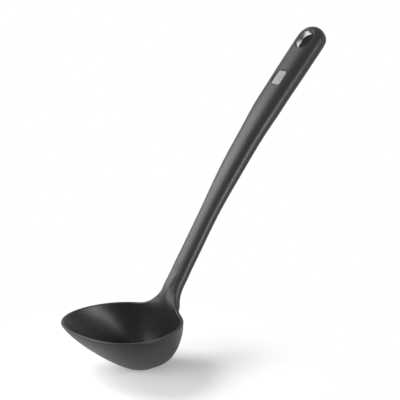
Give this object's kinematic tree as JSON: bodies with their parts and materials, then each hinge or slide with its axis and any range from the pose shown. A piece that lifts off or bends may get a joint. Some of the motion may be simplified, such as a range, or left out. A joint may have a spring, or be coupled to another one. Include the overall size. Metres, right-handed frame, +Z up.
{
  "type": "soup ladle",
  "caption": "Soup ladle with a deep round bowl, pouring corners at its front, a leaning oval handle and a steel-lined hanging slot.",
  "frame": {"origin": "centre of the small flat foot under the bowl, on the table", "axes": "+Z up; the handle leans towards +X, the front of the bowl is towards -X, and Y runs across the ladle"},
  "size_m": [0.2834, 0.0956, 0.2493],
  "materials": {
    "silicone": "satin",
    "nylon": "matte",
    "steel": "polished",
    "inlay": "matte",
    "badge": "satin"
  },
  "bodies": {
    "root": {"silicone_body": "silicone", "nylon_core": "nylon", "slot_ring": "steel", "badge_inlay": "inlay", "badge_plate": "badge"}
  },
  "joints": []
}
